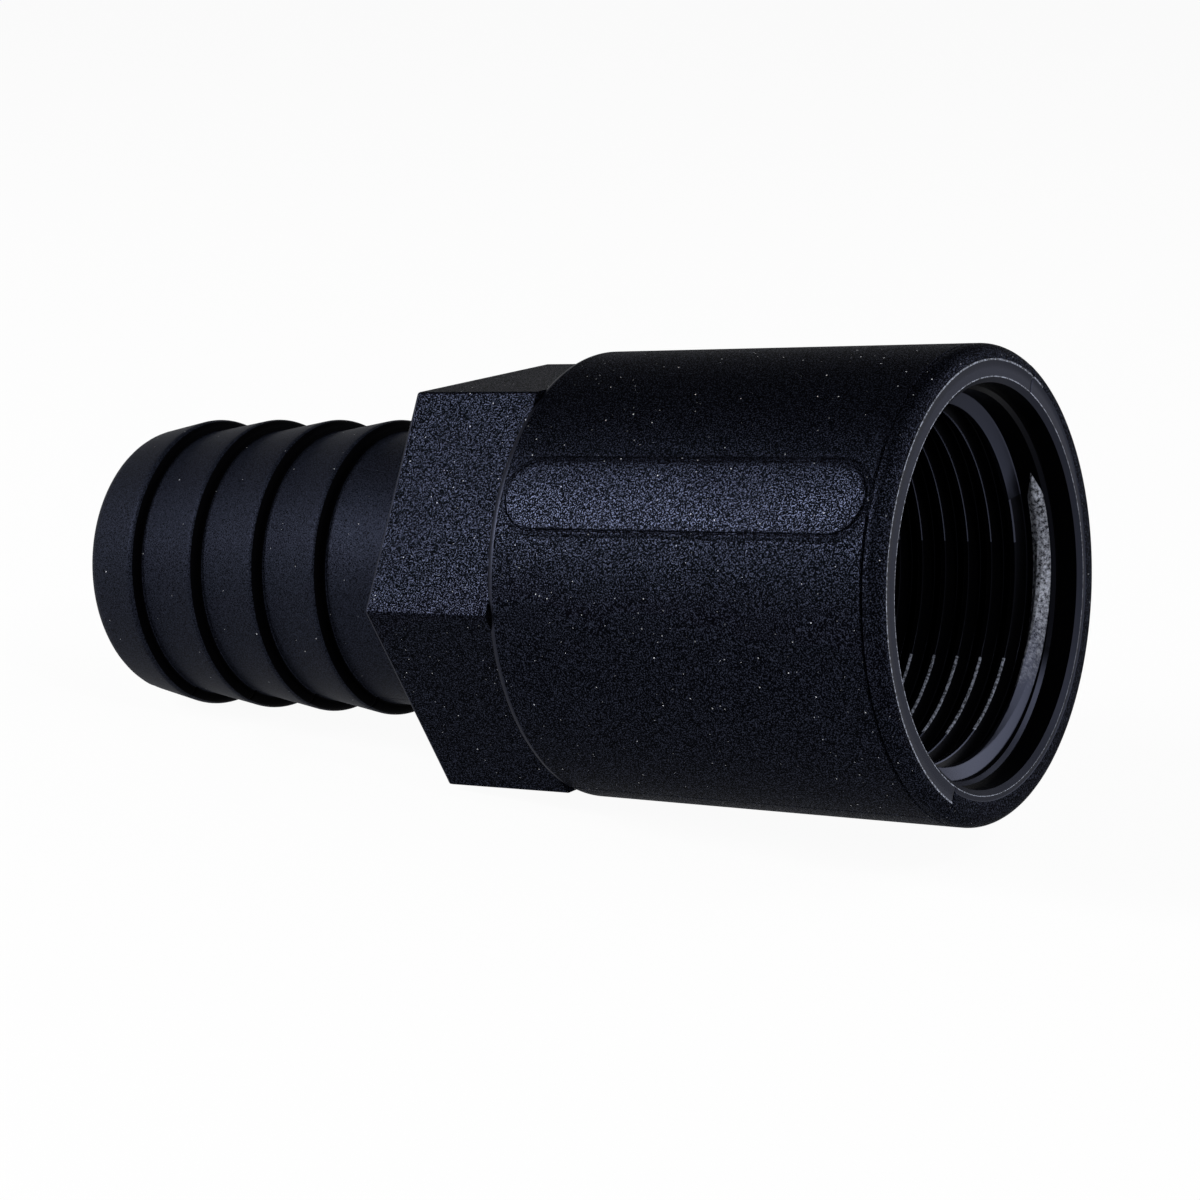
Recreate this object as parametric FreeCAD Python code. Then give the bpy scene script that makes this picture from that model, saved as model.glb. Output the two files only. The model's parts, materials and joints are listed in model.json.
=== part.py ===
import FreeCAD, Part
import math
import os

os.makedirs("parts", exist_ok=True)

# Hose barb adapter: a moulded fitting with a G1 female thread socket at one end,
# a hexagon for a spanner in the middle and a four-barb tail for a 25 mm hose at the other.
# All sizes in mm. The part is drawn along its own axis X: x = 0 is the face of the mouth,
# negative x runs towards the tip of the tail. It is laid on the floor at the end.

# Overall stations along the axis
tip_x = -90.3
hex_left_x = -50.95
hex_right_x = -38.0
socket_rear_x = -38.4

# Hose tail: barbs with a ramp, a rounded crest and a square step that faces the mouth
barb_count = 4
barb_pitch = 7.29
last_crest_x = -61.28
crest_corner_r = 14.1
crest_rounding = 0.8
step_foot_r = 12.85
foot_fillet = 0.25
nose_corner_r = 12.65
nose_rounding = 2.07
neck_r = 13.2
neck_fillet = 0.6

# Hexagon
hex_across_flats = 36.0
hex_edge_r = 0.35

# Socket: slightly tapered outside, for release from the mould
socket_mouth_r = 20.52
socket_draft = 0.0103
socket_rear_rounding = 0.8
rim_rounding = 1.3
collar_step = 0.5

# Inside of the socket. G1 thread: its root radius is half of 33.249.
thread_root_r = 16.6245
mouth_edge_r = 17.65
mouth_chamfer = 0.45
lead_in_depth = 2.35
lead_in_r = 16.95
thread_end_x = -23.5
seat_fillet = 0.4

# Water way behind the thread
core_r = 14.6
core_end_x = -26.0
funnel_end_x = -40.0
waterway_r = 10.4
tip_bore_r = 9.9
tip_bore_rounding = 0.35
core_rounding = 1.5

# Raised pad on the side of the socket
pad_length = 34.93
pad_width = 6.12
pad_middle_x = -19.5
pad_height = 0.25
pad_root = 0.4
pad_angle = 60.0

# How far a cutting or trimming body reaches past what it cuts, and when two places count as one
margin = 1.0
same_place = 1e-6

counterbore_r = mouth_edge_r - mouth_chamfer
X_AXIS = FreeCAD.Vector(1, 0, 0)
ORIGIN = FreeCAD.Vector(0, 0, 0)


def socket_r(x):
    """Outer radius of the socket at the station x."""
    return socket_mouth_r + socket_draft * x


def crest_x(number):
    """Station of the square step of a barb, counted from the tip."""
    return last_crest_x - (barb_count - 1 - number) * barb_pitch


def rounded_profile(corners):
    """Closed wire in the XZ plane through (x, r, rounding) corners, with tangent arcs at the rounded ones."""
    points = [FreeCAD.Vector(x, 0, r) for x, r, rounding in corners]
    starts = []
    arcs = []
    ends = []
    for i, (x, r, rounding) in enumerate(corners):
        here = points[i]
        back = (points[i - 1] - here).normalize()
        ahead = (points[(i + 1) % len(points)] - here).normalize()
        if rounding == 0:
            starts.append(here)
            ends.append(here)
            arcs.append(None)
            continue
        half = back.getAngle(ahead) / 2
        reach = rounding / math.tan(half)
        bisector = (back + ahead).normalize()
        centre = here + bisector * (rounding / math.sin(half))
        start = here + back * reach
        end = here + ahead * reach
        starts.append(start)
        ends.append(end)
        arcs.append(Part.Arc(start, centre - bisector * rounding, end).toShape())
    edges = []
    for i in range(len(points)):
        if arcs[i] is not None:
            edges.append(arcs[i])
        following = starts[(i + 1) % len(points)]
        if ends[i].distanceToPoint(following) > same_place:
            edges.append(Part.makeLine(ends[i], following))
    return Part.Wire(edges)


def tail_corners():
    """Outside of the tail, from the bore at the tip to the neck."""
    corners = [(tip_x, tip_bore_r, tip_bore_rounding)]
    corners.append((tip_x, nose_corner_r, nose_rounding))
    for number in range(barb_count):
        corners.append((crest_x(number), crest_corner_r, crest_rounding))
        corners.append((crest_x(number), step_foot_r, foot_fillet))
    corners.append((hex_left_x, neck_r, neck_fillet))
    return corners


def socket_corners():
    """Outside of the collar inside the hexagon and of the socket, as far as the edge of the mouth."""
    collar_r = neck_r + neck_fillet + collar_step
    return [
        (hex_left_x, collar_r, 0),
        (socket_rear_x, collar_r, 0),
        (socket_rear_x, socket_r(socket_rear_x), socket_rear_rounding),
        (0, socket_mouth_r, rim_rounding),
        (0, mouth_edge_r, 0),
    ]


def bore_corners():
    """Inside, from the mouth back to the tip: chamfer, plain lead-in, thread bore, seat and water way."""
    return [
        (-mouth_chamfer, counterbore_r, 0),
        (-lead_in_depth, counterbore_r, 0),
        (-lead_in_depth, lead_in_r, 0),
        (-lead_in_depth - (lead_in_r - thread_root_r), thread_root_r, 0),
        (thread_end_x, thread_root_r, seat_fillet),
        (thread_end_x, core_r, 0),
        (core_end_x, core_r, core_rounding),
        (funnel_end_x, waterway_r, core_rounding),
    ]


def turned_body():
    """Tail, neck, socket and everything inside them, as one turned solid."""
    wire = rounded_profile(tail_corners() + socket_corners() + bore_corners())
    return Part.Face(wire).revolve(ORIGIN, X_AXIS, 360)


def hexagon():
    """Spanner hexagon with a flat side down, hollow where the turned body passes through."""
    corner_r = hex_across_flats / math.sqrt(3)
    corners = []
    for i in range(7):
        angle = math.radians(60 * i)
        corners.append(FreeCAD.Vector(hex_left_x, corner_r * math.cos(angle), corner_r * math.sin(angle)))
    length = hex_right_x - hex_left_x
    prism = Part.Face(Part.makePolygon(corners)).extrude(FreeCAD.Vector(length, 0, 0))
    edges = [edge for edge in prism.Edges if edge.CenterOfMass.x < hex_right_x - same_place]
    prism = prism.makeFillet(hex_edge_r, edges)
    start = FreeCAD.Vector(hex_left_x - margin, 0, 0)
    middle = Part.makeCylinder(neck_r, length + 2 * margin, start, X_AXIS)
    return prism.cut(middle)


def pad():
    """Raised stadium on the side of the socket: an upright bar with round ends, trimmed to a skin that
    follows the tapered wall. Its root reaches into the wall."""
    half = (pad_length - pad_width) / 2
    radius = pad_width / 2
    height = socket_mouth_r + pad_height + margin
    near = FreeCAD.Vector(pad_middle_x - half, 0, 0)
    far = FreeCAD.Vector(pad_middle_x + half, 0, 0)
    up = FreeCAD.Vector(0, 0, 1)
    bar = Part.makeBox(2 * half, pad_width, height, near - FreeCAD.Vector(0, radius, 0), up)
    round_ends = [Part.makeCylinder(radius, height, middle, up) for middle in (near, far)]
    stadium = bar.fuse(round_ends)
    stadium.rotate(ORIGIN, X_AXIS, pad_angle)
    left = pad_middle_x - pad_length
    right = pad_middle_x + pad_length
    skin = [
        FreeCAD.Vector(left, 0, socket_r(left) - pad_root),
        FreeCAD.Vector(left, 0, socket_r(left) + pad_height),
        FreeCAD.Vector(right, 0, socket_r(right) + pad_height),
        FreeCAD.Vector(right, 0, socket_r(right) - pad_root),
    ]
    wall = Part.Face(Part.makePolygon(skin + skin[:1])).revolve(ORIGIN, X_AXIS, 360)
    return stadium.common(wall)


def resting_angle():
    """Slope of the axis, in degrees, with the socket's rear edge and the first barb's crest on the floor."""
    slope = math.atan((crest_corner_r - nose_corner_r) / (crest_x(0) - tip_x))
    crest_centre_r = crest_corner_r - crest_rounding * (1 / math.cos(slope) + math.tan(slope))
    crest_centre_x = crest_x(0) - crest_rounding
    rear_centre_r = socket_r(socket_rear_x) - socket_rear_rounding
    rear_centre_x = socket_rear_x + socket_rear_rounding
    return math.degrees(math.atan2(rear_centre_r - crest_centre_r, rear_centre_x - crest_centre_x))


def adapter():
    """The whole moulding, one solid, along its own axis."""
    body = turned_body().fuse([hexagon(), pad()]).removeSplitter()
    return body.Solids[0] if len(body.Solids) == 1 else body


def laid_down(shape):
    """Tips the part onto its tail as it rests, a flat of the hexagon down, its box centred over the origin."""
    shape = shape.copy()
    shape.rotate(ORIGIN, FreeCAD.Vector(0, 1, 0), -resting_angle())
    box = shape.optimalBoundingBox(False, False)
    middle = FreeCAD.Vector((box.XMin + box.XMax) / 2, 0, box.ZMin)
    shape.translate(middle * -1)
    return shape, middle


body = adapter()
resting, middle = laid_down(body)
resting.exportStep("parts/adapter_body.step")
weight_point = body.CenterOfMass
print("solids", len(body.Solids), "valid", body.isValid(), "volume", round(body.Volume, 1))
print("resting angle", round(resting_angle(), 3), "centre of mass on the axis", round(weight_point.x, 2))
print("shift", [round(v, 3) for v in middle])
box = resting.optimalBoundingBox(False, False)
print("box", [round(v, 3) for v in (box.XMin, box.XMax, box.YMin, box.YMax, box.ZMin, box.ZMax)])
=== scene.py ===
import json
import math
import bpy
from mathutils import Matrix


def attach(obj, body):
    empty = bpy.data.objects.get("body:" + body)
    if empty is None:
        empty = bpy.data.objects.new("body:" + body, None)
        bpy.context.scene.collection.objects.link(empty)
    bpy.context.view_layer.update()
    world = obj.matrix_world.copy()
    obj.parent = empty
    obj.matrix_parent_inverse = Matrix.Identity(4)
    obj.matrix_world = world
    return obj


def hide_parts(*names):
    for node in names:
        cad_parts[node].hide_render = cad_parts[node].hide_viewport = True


bl_info = {
    "name": "Hose barb adapter",
    "version": (1, 0, 0),
    "blender": (4, 5, 0),
    "location": "View3D > Sidebar > Adapter",
    "description": "Moulded black nylon fitting: barbed hose tail, spanner hexagon and threaded socket",
    "category": "Mesh",
}

import bmesh
import bpy
import numpy as np
from bpy.props import FloatProperty, FloatVectorProperty, PointerProperty
from mathutils import Vector

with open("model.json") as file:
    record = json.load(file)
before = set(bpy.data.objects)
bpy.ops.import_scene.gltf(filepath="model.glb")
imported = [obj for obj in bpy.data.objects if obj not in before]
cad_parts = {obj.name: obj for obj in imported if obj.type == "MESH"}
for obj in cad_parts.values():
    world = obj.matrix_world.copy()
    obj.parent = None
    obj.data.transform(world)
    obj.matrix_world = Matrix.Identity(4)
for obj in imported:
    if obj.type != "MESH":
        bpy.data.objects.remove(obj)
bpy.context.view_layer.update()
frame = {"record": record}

MM = 0.001
NODE = "adapter_body"

# The part's own axis, taken from the record's mounts. x = 0 is the face of the mouth and negative x runs
# to the tip of the tail. Angles about the axis start at the upper flat of the hexagon and turn towards the
# camera's side.
mounts = {mount["name"]: mount for mount in frame["record"]["mounts"]}
THREAD_MOUNT_DEPTH = 3.2 * MM
AXIS = np.array(mounts["thread"]["axis"])
UP = np.array(mounts["spanner_flat"]["axis"])
SIDE = np.cross(AXIS, UP)
MOUTH = np.array(mounts["thread"]["pos_m"]) + THREAD_MOUNT_DEPTH * AXIS

# Stations and radii that the pieces share with the part's source
HEX_LEFT_X = -50.95 * MM
HEX_RIGHT_X = -38.0 * MM
SOCKET_REAR_X = -38.4 * MM
THREAD_END_X = -23.5 * MM
THREAD_ROOT_R = 16.6245 * MM
CORE_R = 14.6 * MM
CORE_END_X = -26.0 * MM
FUNNEL_END_X = -40.0 * MM
WATERWAY_R = 10.4 * MM
CORE_ROUNDING = 1.5 * MM
COLLAR_R = 13.8 * MM
BARB_COUNT = 4

# The two halves of the mould meet in the plane through these two corners of the hexagon.
PARTING_ANGLES = (math.radians(150), math.radians(330))

# How finely the surfaces are drawn, and when two points count as one
SHARP_ANGLE = math.radians(32)
MERGE_DISTANCE = 2e-7
ARC_STEP = math.radians(9)
OUTLINE_STEP = 0.9 * MM
TINY = 0.001 * MM

# Finishes, in the order of the material slots
GRAIN = 0
SATIN = 1
GLOSS = 2
TORN = 3
SMOOTH = 4
PAD = 5
PAINTED_SHEEN = 6
PALE_HIGHLIGHT = 7
# Painted shade on the barbs' crests and steps
BARB_STEP_SHADE = 8
EDGE = 9


def place(x, r, angle):
    """Points at station x along the axis, radius r and an angle about it:
    mouth + x * axis + r * (cos(angle) * up + sin(angle) * side)."""
    x, r, angle = (value[..., None] for value in np.broadcast_arrays(x, r, angle))
    return MOUTH + x * AXIS + r * (np.cos(angle) * UP + np.sin(angle) * SIDE)


def smooth_step(value, start, end):
    """0 before start, 1 after end, and 3t^2 - 2t^3 between them."""
    t = np.clip((value - start) / (end - start), 0, 1)
    return t * t * (3 - 2 * t)


def outline(corners, spacing):
    """Closed outline through (x, r, rounding, finish) corners, as arrays of x, r and finish.
    A rounded corner is an arc tangent to both its sides. A straight side is cut in equal steps no longer
    than spacing. The finish of a corner holds for the side after it, and its arc keeps the one before."""
    rows = []
    points = [np.array(corner[:2]) for corner in corners]
    for i, (x, r, rounding, finish) in enumerate(corners):
        here = points[i]
        back = points[i - 1] - here
        ahead = points[(i + 1) % len(points)] - here
        back /= np.linalg.norm(back)
        ahead /= np.linalg.norm(ahead)
        if rounding == 0:
            arc = here[None]
        else:
            half = math.acos(np.clip(back @ ahead, -1, 1)) / 2
            bisector = (back + ahead) / np.linalg.norm(back + ahead)
            centre = here + bisector * rounding / math.sin(half)
            turn = math.pi - 2 * half
            across = (ahead - back) / np.linalg.norm(ahead - back)
            bend = np.linspace(-turn / 2, turn / 2, max(3, round(turn / ARC_STEP)) + 1)[:, None]
            arc = centre + rounding * (np.sin(bend) * across - np.cos(bend) * bisector)
        rows.append((arc, corners[i - 1][3], finish))
    xs = []
    finishes = []
    for (arc, before, after), (following, _, _) in zip(rows, rows[1:] + rows[:1]):
        gap = following[0] - arc[-1]
        steps = max(1, math.ceil(np.linalg.norm(gap) / spacing))
        side = arc[-1] + gap * np.arange(steps)[:, None] / steps
        if np.linalg.norm(gap) < MERGE_DISTANCE:
            side = side[:0]
        xs.append(np.vstack([arc[:-1], side]) if len(side) else arc)
        finishes += [before] * (len(arc) - 1) + [after] * (len(xs[-1]) - len(arc) + 1)
    both = np.vstack(xs)
    return both[:, 0], both[:, 1], np.array(finishes)


def ring_angles(step, fine_at, fine_offsets):
    """Angles once around the axis in equal steps, and more at fine_offsets on both sides of each fine_at."""
    extra = np.array(fine_at)[:, None] + np.concatenate([fine_offsets, -np.array(fine_offsets)])[None]
    regular = np.linspace(0, 2 * np.pi, round(2 * np.pi / step) + 1)
    return np.unique(np.concatenate([regular, extra.ravel() % (2 * np.pi)]).round(9))


def from_parting(r, angle):
    """Distance along the circle of radius r from the nearer parting line."""
    return r * (np.mod(angle - PARTING_ANGLES[0] + np.pi / 2, np.pi) - np.pi / 2)


def mould_halves(x, r, angle, inner_r, outer_r, sizes):
    """The half of the mould below the parting plane sits a little out of line: the outside moulded in it is
    moved across, in the parting plane, and along the axis. Where the halves meet they leave a fine groove,
    depth * exp(-(distance / width)^2). Both fade from outer_r to nothing at inner_r."""
    first, second = PARTING_ANGLES
    lower = (angle > first) & (angle < second)
    weight = np.clip((r - inner_r) / (outer_r - inner_r), 0, 1)
    groove = weight * sizes.seam_depth * np.exp(-((from_parting(r, angle) / sizes.seam_width) ** 2))
    x = x - weight * lower * sizes.halves_along - groove
    return x, r + weight * lower * sizes.halves_across * np.cos(angle - second) - groove


def closed_piece(name, points, finish, close_rows=True):
    """Mesh object from a grid of points: a quad between each two neighbouring rows and columns. The last
    row joins the first unless the ends close by themselves. The finish is given for each row of faces or for
    each face. Points that coincide, as in the last and first column, merge."""
    rows, columns = points.shape[:2]
    index = np.arange(rows * columns).reshape(rows, columns)
    following = np.roll(index, -1, axis=0)
    if not close_rows:
        index = index[:-1]
        following = following[:-1]
    quads = np.stack([index[:, :-1], index[:, 1:], following[:, 1:], following[:, :-1]], -1).reshape(-1, 4)
    mesh = bpy.data.meshes.new(name)
    mesh.from_pydata(points.reshape(-1, 3).tolist(), [], quads.tolist())
    if finish.ndim == 1:
        finish = finish[:, None]
    finish = np.broadcast_to(finish[: len(index)], (len(index), columns - 1))
    mesh.polygons.foreach_set("material_index", finish.ravel().astype(np.int32))
    shape = bmesh.new()
    shape.from_mesh(mesh)
    bmesh.ops.remove_doubles(shape, verts=shape.verts, dist=MERGE_DISTANCE)
    bmesh.ops.dissolve_degenerate(shape, edges=shape.edges, dist=MERGE_DISTANCE / 2)
    bmesh.ops.recalc_face_normals(shape, faces=shape.faces)
    open_edges = sum(1 for edge in shape.edges if len(edge.link_faces) != 2)
    shape.to_mesh(mesh)
    shape.free()
    if open_edges:
        raise RuntimeError(f"{name}: {open_edges} edges of the surface are not closed")
    mesh.shade_smooth()
    mesh.set_sharp_from_angle(angle=SHARP_ANGLE)
    piece = bpy.data.objects.new(name, mesh)
    bpy.context.scene.collection.objects.link(piece)
    return piece


def hand_over(piece):
    """Gives a piece the finishes, lets it move with the part and stand for the solid of the source."""
    for material in all_finishes():
        piece.data.materials.append(material)
    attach(piece, "root")
    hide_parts(NODE)


# Sizes and colours that a user would change

class TailSizes(bpy.types.PropertyGroup):
    """Hose tail for a 25 mm hose."""
    tip_x: FloatProperty(name="Tip", description="Station of the tip", default=-90.3 * MM, unit="LENGTH")
    crest_r: FloatProperty(
        name="Crest radius", description="Radius of a barb before its crest is rounded",
        default=14.1 * MM, unit="LENGTH")
    crest_rounding: FloatProperty(
        name="Crest rounding", description="Rounding of a barb's crest", default=0.8 * MM, unit="LENGTH")
    last_crest_x: FloatProperty(
        name="Last crest", description="Station of the barb nearest the hexagon",
        default=-61.28 * MM, unit="LENGTH")
    pitch: FloatProperty(
        name="Barb pitch", description="Distance from barb to barb", default=7.29 * MM, unit="LENGTH")
    foot_r: FloatProperty(
        name="Foot radius", description="Radius at the foot of a barb's step",
        default=12.85 * MM, unit="LENGTH")
    nose_r: FloatProperty(
        name="Nose radius", description="Radius at the tip", default=12.65 * MM, unit="LENGTH")
    nose_rounding: FloatProperty(
        name="Nose rounding", description="Rounding at the tip", default=2.07 * MM, unit="LENGTH")
    neck_r: FloatProperty(
        name="Neck radius", description="Radius where the tail meets the hexagon",
        default=13.2 * MM, unit="LENGTH")
    bore_r: FloatProperty(
        name="Bore radius", description="Bore at the tip", default=9.9 * MM, unit="LENGTH")
    flash: FloatProperty(
        name="Flash", description="Height of the burrs where the mould halves meet at the nose",
        default=0.16 * MM, unit="LENGTH")


class HexagonSizes(bpy.types.PropertyGroup):
    """Spanner hexagon."""
    across_flats: FloatProperty(
        name="Across flats", description="Spanner size", default=36.0 * MM, unit="LENGTH")
    edge_r: FloatProperty(
        name="Edge radius", description="Rounding of its edges", default=0.35 * MM, unit="LENGTH")


class SocketSizes(bpy.types.PropertyGroup):
    """Socket, from its rear edge to the mouth."""
    mouth_r: FloatProperty(
        name="Mouth radius", description="Outer radius at the mouth", default=20.52 * MM, unit="LENGTH")
    draft: FloatProperty(
        name="Draft", description="Change of radius for each unit of length, for release from the mould",
        default=0.0103)
    rear_rounding: FloatProperty(
        name="Rear rounding", description="Rounding of the rear edge", default=0.8 * MM, unit="LENGTH")
    rim_rounding: FloatProperty(
        name="Rim rounding", description="Rounding of the rim", default=1.3 * MM, unit="LENGTH")
    mouth_edge_r: FloatProperty(
        name="Mouth edge", description="Inner edge of the rim's face", default=17.65 * MM, unit="LENGTH")
    chamfer: FloatProperty(
        name="Chamfer", description="Chamfer inside the rim", default=0.45 * MM, unit="LENGTH")
    lead_in_depth: FloatProperty(
        name="Lead-in depth", description="Depth of the plain wall before the thread",
        default=2.35 * MM, unit="LENGTH")
    lead_in_r: FloatProperty(
        name="Lead-in radius", description="Wide end of the lead-in cone",
        default=16.95 * MM, unit="LENGTH")
    seat_fillet: FloatProperty(
        name="Seat fillet", description="Fillet at the bottom of the thread",
        default=0.4 * MM, unit="LENGTH")
    joint_width: FloatProperty(
        name="Joint width", description="Width of the fine groove behind the rim",
        default=0.3 * MM, unit="LENGTH")
    seam_width: FloatProperty(
        name="Seam width", description="Half width of the groove between the mould's halves",
        default=0.1 * MM, unit="LENGTH")
    seam_depth: FloatProperty(
        name="Seam depth", description="Depth of the groove between the mould's halves",
        default=0.25 * MM, unit="LENGTH")
    ring_step: FloatProperty(
        name="Ring step", description="Bevel at the edges of the rim's smooth ring",
        default=0.1 * MM, unit="LENGTH")
    # Width of the pale strips at the ring's edges, which are painted highlights
    highlight_strip: FloatProperty(
        name="Burr", description="Width of the burr at the edge of the rim's smooth ring",
        default=0.15 * MM, unit="LENGTH")
    ring_inset: FloatProperty(
        name="Ring inset",
        description="How much narrower the rim's smooth ring is in the lower half of the mould",
        default=0.85 * MM, unit="LENGTH")
    halves_across: FloatProperty(
        name="Halves across", description="Offset of the mould's halves across the axis",
        default=0.07 * MM, unit="LENGTH")
    halves_along: FloatProperty(
        name="Halves along", description="Offset of the mould's halves along the axis",
        default=0.05 * MM, unit="LENGTH")


class PadSizes(bpy.types.PropertyGroup):
    """Raised pad on the side of the socket."""
    length: FloatProperty(
        name="Length", description="Length over its ends", default=34.93 * MM, unit="LENGTH")
    width: FloatProperty(name="Width", description="Width across", default=6.12 * MM, unit="LENGTH")
    middle_x: FloatProperty(
        name="Middle", description="Station of its middle", default=-19.5 * MM, unit="LENGTH")
    height: FloatProperty(
        name="Height", description="Height above the wall", default=0.25 * MM, unit="LENGTH")
    angle: FloatProperty(
        name="Angle", description="Place around the axis", default=math.radians(60), subtype="ANGLE")
    edge_r: FloatProperty(
        name="Edge radius", description="Rounding of its edge", default=0.09 * MM, unit="LENGTH")
    moat: FloatProperty(
        name="Groove", description="Width of the groove round it", default=0.2 * MM, unit="LENGTH")
    moat_depth: FloatProperty(
        name="Groove depth", description="Depth of the groove round it", default=0.1 * MM, unit="LENGTH")


class ThreadSizes(bpy.types.PropertyGroup):
    """Female pipe thread G1, right-hand, 55 degrees."""
    pitch: FloatProperty(name="Pitch", description="Pitch of the thread", default=2.309 * MM, unit="LENGTH")
    crest_r: FloatProperty(
        name="Crest radius", description="Radius inside the ridges", default=15.46 * MM, unit="LENGTH")
    flank_angle: FloatProperty(
        name="Flank angle", description="Half the angle of the thread",
        default=math.radians(27.5), subtype="ANGLE")
    crest_width: FloatProperty(
        name="Crest width", description="Width of the flat on a ridge", default=0.46 * MM, unit="LENGTH")
    start_angle: FloatProperty(
        name="Start angle", description="Place around the axis where the first ridge starts",
        default=math.radians(297), subtype="ANGLE")
    start_x: FloatProperty(
        name="Start", description="Station of the ridge's middle where it starts",
        default=-3.35 * MM, unit="LENGTH")
    turns: FloatProperty(name="Turns", description="Number of turns", default=8.1)


class FinishSettings(bpy.types.PropertyGroup):
    """Finishes of the nylon."""
    colour: FloatVectorProperty(
        name="Colour", description="Black nylon, linear", subtype="COLOR", size=3,
        default=(0.0032, 0.0038, 0.0060), min=0, max=1)
    grain: FloatProperty(
        name="Grain", description="Width of a grain of the spark-eroded mould",
        default=0.12 * MM, unit="LENGTH")


SETTINGS = {
    "adapter_tail": TailSizes,
    "adapter_hexagon": HexagonSizes,
    "adapter_socket": SocketSizes,
    "adapter_pad": PadSizes,
    "adapter_thread": ThreadSizes,
    "adapter_finish": FinishSettings,
}


# Shapes

def funnel_r(x):
    """Radius of the straight funnel between the core and the water way, at station x."""
    share = (x - CORE_END_X) / (FUNNEL_END_X - CORE_END_X)
    return CORE_R + share * (WATERWAY_R - CORE_R)


def wall_r(sizes, x):
    """Outer radius of the socket at station x: radius at the mouth + draft * x."""
    return sizes.mouth_r + sizes.draft * x


def lead_in_foot(sizes):
    """Station where the 45-degree lead-in cone reaches the root of the thread."""
    return -sizes.lead_in_depth - (sizes.lead_in_r - THREAD_ROOT_R)


def tail_points(sizes, halves):
    """Hose tail with its bore, turned: each row is a point of the outline carried once around the axis. A
    narrow ridge exp(-(arc length / width)^2) stands on both parting lines, as high as the flash at that
    station. The crest and the step of each barb get a nearly unreflecting finish: painted shade for the dark
    band that falls there."""
    tip_rounding = 0.35 * MM
    foot_fillet = 0.25 * MM
    corners = [
        (sizes.tip_x, sizes.bore_r, tip_rounding, SATIN),
        (sizes.tip_x, sizes.nose_r, sizes.nose_rounding, SATIN),
    ]
    for number in range(BARB_COUNT):
        crest_x = sizes.last_crest_x - (BARB_COUNT - 1 - number) * sizes.pitch
        corners.append((crest_x, sizes.crest_r, sizes.crest_rounding, SATIN))
        corners.append((crest_x, sizes.foot_r, foot_fillet, SATIN))
    corners += [
        (HEX_LEFT_X, sizes.neck_r, COLLAR_R - sizes.neck_r, SATIN),
        (HEX_LEFT_X, COLLAR_R, 0, SATIN),
        (SOCKET_REAR_X, COLLAR_R, 0, GLOSS),
        (SOCKET_REAR_X, funnel_r(SOCKET_REAR_X), 0, GLOSS),
        (FUNNEL_END_X, WATERWAY_R, CORE_ROUNDING, GLOSS),
    ]
    x, r, finish = outline(corners, OUTLINE_STEP)

    # Painted shade: from just before each crest over its step, the barb gets a nearly unreflecting finish
    # for the dark band that falls there.
    step_start = 0.45 * MM
    step_width = 0.55 * MM
    slack = 0.05 * MM
    past_start = np.mod(x - sizes.last_crest_x + step_start, sizes.pitch)
    shade_on_step = (past_start < step_width) & (x < sizes.last_crest_x + MM) & (r > sizes.foot_r - slack)
    finish = np.where(shade_on_step, BARB_STEP_SHADE, finish)

    beside_parting = np.radians([0.02, 0.2, 0.4, 0.65, 1.0])
    angle = ring_angles(math.radians(1.5), PARTING_ANGLES, beside_parting)
    x, r, angle = np.broadcast_arrays(x[:, None], r[:, None], angle[None])
    inside_r = 11 * MM
    outside_r = 12 * MM
    outside = np.clip((r - inside_r) / (outside_r - inside_r), 0, 1)
    # Burrs stand where two waves along the axis agree in sign, and die out from 2 to 9.5 mm behind the tip.
    # A low rest of them runs on along the whole tail.
    from_tip = (x - sizes.tip_x) / MM
    waves = np.sin(from_tip * 2.9) * np.sin(from_tip * 1.3 + 0.4)
    burrs = np.clip(waves, 0, 1) * smooth_step(from_tip, 9.5, 2)
    low_rest = 0.12
    ridge_width = 0.11 * MM
    height = sizes.flash * (low_rest + burrs) * outside
    ridge = height * np.exp(-((from_parting(r, angle) / ridge_width) ** 2))
    x, r = mould_halves(x, r, angle, inside_r, outside_r, halves)
    return place(x, r + ridge, angle), finish


def hexagon_r(angle, apothem, edge_r):
    """Radius of a hexagon with a flat at angle 0 and corners rounded by edge_r, at each angle:
    apothem / cos(t) on a flat, and near a corner the far meeting of the ray with the corner's circle."""
    from_flat = np.mod(angle + np.pi / 6, np.pi / 3) - np.pi / 6
    from_corner = np.pi / 6 - np.abs(from_flat)
    centre = (apothem - edge_r) / math.cos(math.pi / 6)
    reach = np.pi / 6 - np.arctan((apothem - edge_r) * math.tan(math.pi / 6) / apothem)
    inside = np.maximum(edge_r**2 - (centre * np.sin(from_corner)) ** 2, 0)
    on_corner = centre * np.cos(from_corner) + np.sqrt(inside)
    return np.where(from_corner < reach, on_corner, apothem / np.cos(from_flat))


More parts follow.
